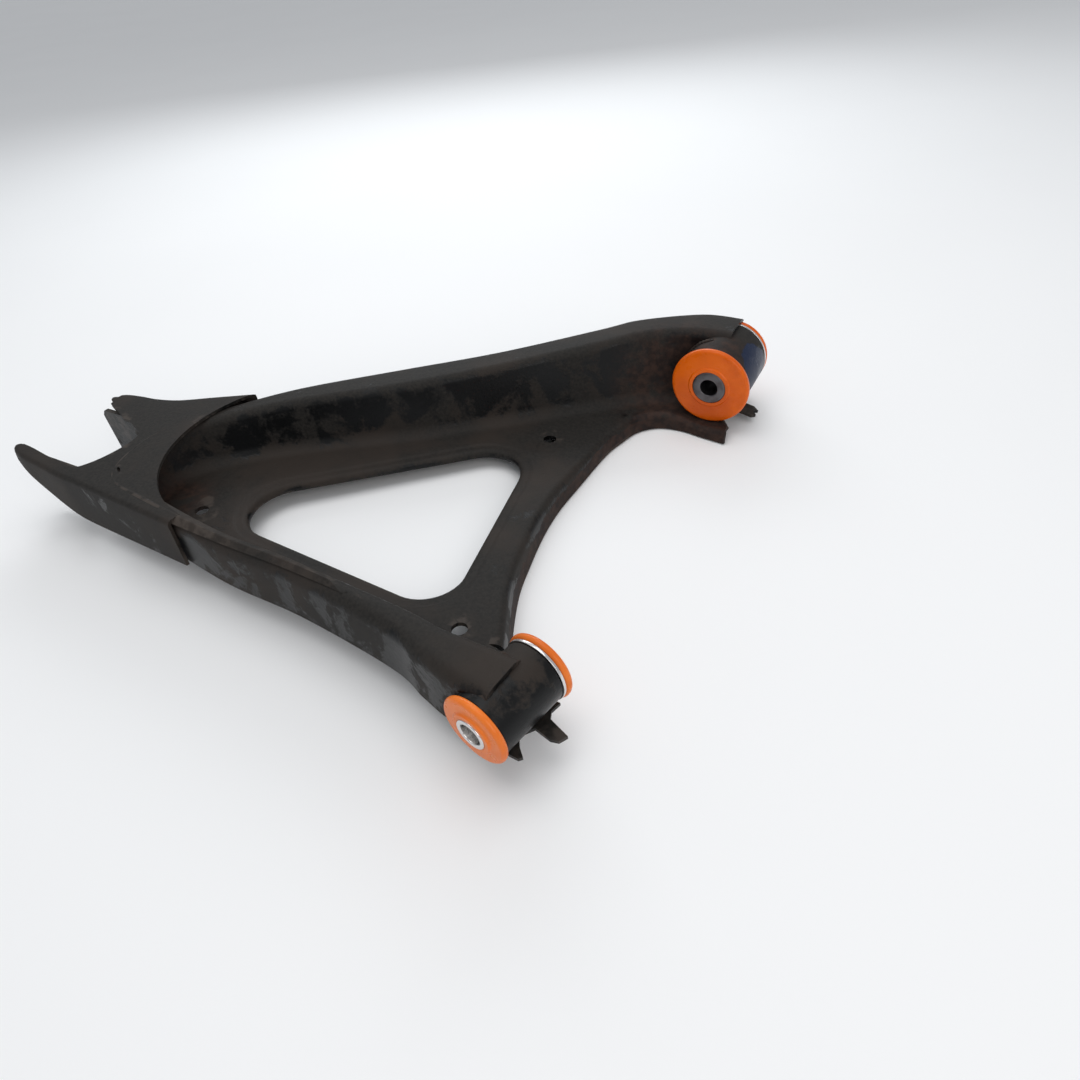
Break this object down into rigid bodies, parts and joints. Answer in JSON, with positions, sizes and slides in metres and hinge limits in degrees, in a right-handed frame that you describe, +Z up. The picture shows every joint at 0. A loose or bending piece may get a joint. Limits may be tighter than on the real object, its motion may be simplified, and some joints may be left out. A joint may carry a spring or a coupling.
{
  "type": "control arm",
  "caption": "Pressed-steel wishbone suspension arm with an open fork, a triangular window and polyurethane pivot bushes on steel sleeves.",
  "frame": {"origin": "centre of the front pivot bush, on its bolt axis", "axes": "+X outboard to the fork, +Y from the front bush to the rear bush, +Z up"},
  "size_m": [0.5234, 0.4456, 0.0759],
  "materials": {
    "black_paint": "worn black paint with dust and rust",
    "rusty_weld": "rusty weld bead",
    "polyurethane": "glossy orange polyurethane",
    "dark_steel": "dark turned steel",
    "bright_steel": "bright plated steel"
  },
  "bodies": {
    "arm": {"pressing": "black_paint", "fork_cap": "black_paint", "clevis_front_lug": "black_paint", "clevis_rear_lug": "black_paint", "front_tube": "black_paint", "front_inner_bush": "polyurethane", "front_outer_bush": "polyurethane", "front_ring": "bright_steel", "rear_tube": "black_paint", "rear_inner_bush": "polyurethane", "rear_outer_bush": "polyurethane", "rear_ring": "bright_steel", "front_tube_weld": "rusty_weld", "rear_tube_weld": "rusty_weld", "front_tab": "black_paint", "rear_tab": "black_paint"},
    "front_sleeve": {"front_sleeve": "dark_steel"},
    "rear_sleeve": {"rear_sleeve": "bright_steel"}
  },
  "joints": [
    {"name": "front_pivot_turn", "type": "hinge", "parent": "arm", "child": "front_sleeve", "pos_m": [0, 0, 0], "axis": [0, 1, 0], "continuous": true},
    {"name": "rear_pivot_turn", "type": "hinge", "parent": "arm", "child": "rear_sleeve", "pos_m": [-0.006, 0.375, 0], "axis": [0.2079, 0.9781, 0], "continuous": true}
  ]
}
